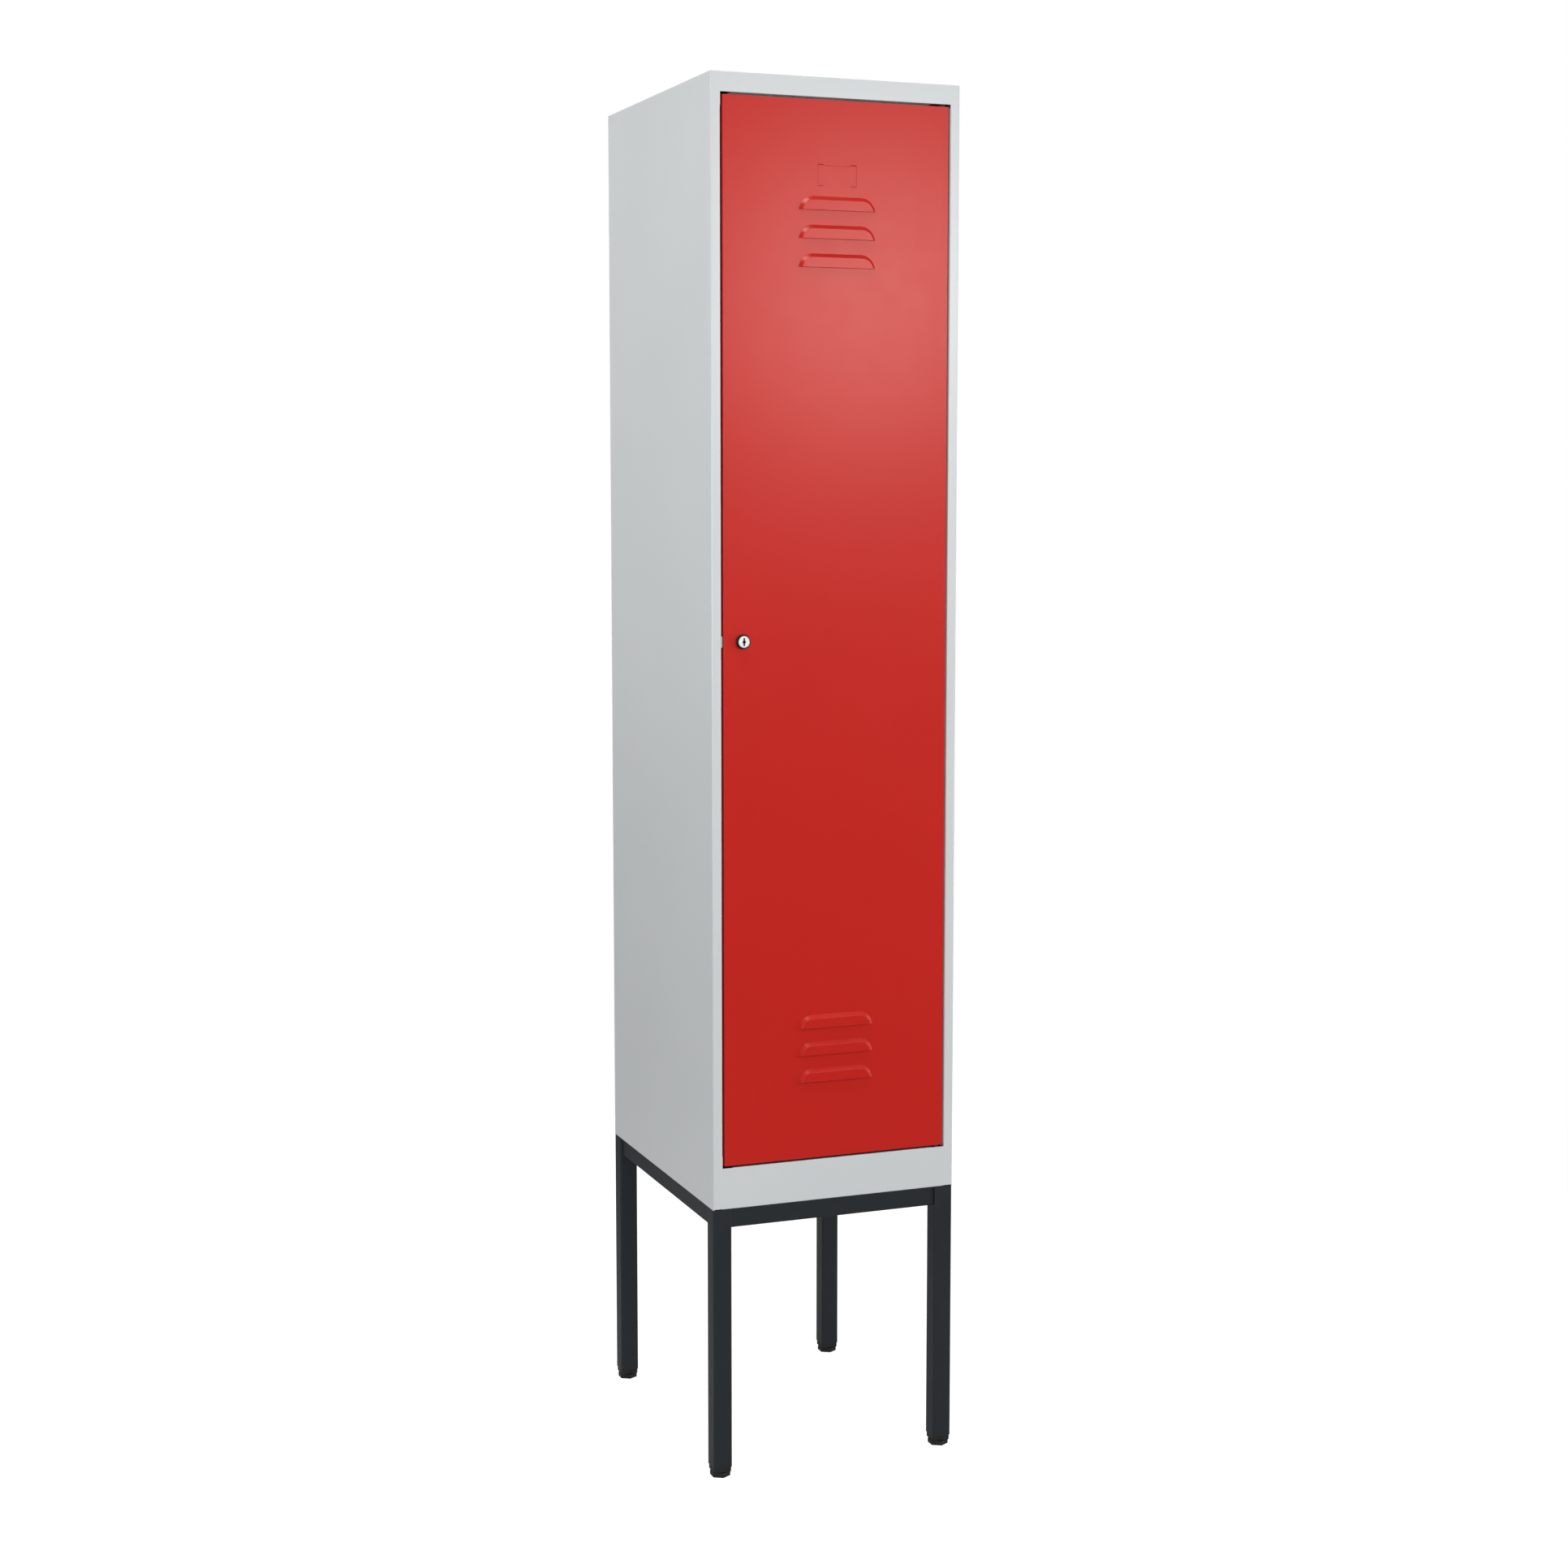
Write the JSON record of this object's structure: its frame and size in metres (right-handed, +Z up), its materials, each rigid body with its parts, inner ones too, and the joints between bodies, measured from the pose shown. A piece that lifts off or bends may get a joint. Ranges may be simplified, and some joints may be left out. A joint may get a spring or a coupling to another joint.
{
  "type": "metal locker",
  "caption": "Tall narrow sheet-steel locker with a hinged, louvred and lockable door, hat shelf and coat rail inside, on an open tube base with levelling feet.",
  "frame": {"origin": "on the floor under the middle of the locker's overall box", "axes": "+Z up, -Y towards the front with the door, +X to the viewer's right when facing the door"},
  "size_m": [0.4, 0.5076, 2.124],
  "materials": {
    "cabinet_grey": "smooth semi-gloss light grey powder coat",
    "door_red": "smooth semi-gloss red powder coat",
    "frame_anthracite": "satin anthracite powder coat",
    "black_plastic": "moulded black plastic",
    "black_rubber": "matt black rubber",
    "chrome": "bright plated steel",
    "zinc_steel": "zinc-plated steel"
  },
  "bodies": {
    "cabinet": {"left_side_panel": "cabinet_grey", "right_side_panel": "cabinet_grey", "top_panel": "cabinet_grey", "bottom_panel": "cabinet_grey", "back_panel": "cabinet_grey", "hat_shelf": "cabinet_grey", "lock_keep": "cabinet_grey", "front_base_rail": "frame_anthracite", "rear_base_rail": "frame_anthracite", "left_base_rail": "frame_anthracite", "right_base_rail": "frame_anthracite", "front_left_leg": "frame_anthracite", "front_left_leg_plug": "black_plastic", "front_right_leg": "frame_anthracite", "front_right_leg_plug": "black_plastic", "rear_left_leg": "frame_anthracite", "rear_left_leg_plug": "black_plastic", "rear_right_leg": "frame_anthracite", "rear_right_leg_plug": "black_plastic", "left_rail_socket": "black_plastic", "right_rail_socket": "black_plastic", "upper_hinge_bearing": "black_plastic", "lower_hinge_bearing": "black_plastic", "upper_door_buffer": "black_rubber", "lower_door_buffer": "black_rubber", "clothes_rail": "chrome", "front_left_frame_bolt": "zinc_steel", "front_right_frame_bolt": "zinc_steel", "rear_left_frame_bolt": "zinc_steel", "rear_right_frame_bolt": "zinc_steel"},
    "door": {"door_panel": "door_red", "door_stiffener": "door_red", "upper_hinge_pin": "zinc_steel", "lower_hinge_pin": "zinc_steel", "lock_housing": "black_plastic", "lock_nut": "zinc_steel"},
    "lock": {"lock_plug": "chrome", "lock_cam": "zinc_steel", "cam_screw": "zinc_steel"},
    "left_hook": {"left_coat_hook": "zinc_steel"},
    "middle_hook": {"middle_coat_hook": "zinc_steel"},
    "right_hook": {"right_coat_hook": "zinc_steel"},
    "front_left_foot": {"front_left_levelling_foot": "black_plastic"},
    "front_right_foot": {"front_right_levelling_foot": "black_plastic"},
    "rear_left_foot": {"rear_left_levelling_foot": "black_plastic"},
    "rear_right_foot": {"rear_right_levelling_foot": "black_plastic"}
  },
  "joints": [
    {"name": "door_hinge", "type": "hinge", "parent": "cabinet", "child": "door", "pos_m": [0.1727, -0.2392, 1.291], "axis": [0, 0, 1], "range_deg": [0, 110]},
    {"name": "lock_turn", "type": "hinge", "parent": "door", "child": "lock", "pos_m": [-0.1512, -0.2462, 1.291], "axis": [0, -1, 0], "range_deg": [0, 90]},
    {"name": "left_hook_slide", "type": "slide", "parent": "cabinet", "child": "left_hook", "axis": [1, 0, 0], "range_m": [-0.03, 0.03]},
    {"name": "middle_hook_slide", "type": "slide", "parent": "cabinet", "child": "middle_hook", "axis": [1, 0, 0], "range_m": [-0.03, 0.03]},
    {"name": "right_hook_slide", "type": "slide", "parent": "cabinet", "child": "right_hook", "axis": [1, 0, 0], "range_m": [-0.03, 0.03]},
    {"name": "front_left_foot_screw", "type": "slide", "parent": "cabinet", "child": "front_left_foot", "axis": [0, 0, -1], "range_m": [0, 0.015]},
    {"name": "front_right_foot_screw", "type": "slide", "parent": "cabinet", "child": "front_right_foot", "axis": [0, 0, -1], "range_m": [0, 0.015]},
    {"name": "rear_left_foot_screw", "type": "slide", "parent": "cabinet", "child": "rear_left_foot", "axis": [0, 0, -1], "range_m": [0, 0.015]},
    {"name": "rear_right_foot_screw", "type": "slide", "parent": "cabinet", "child": "rear_right_foot", "axis": [0, 0, -1], "range_m": [0, 0.015]}
  ]
}
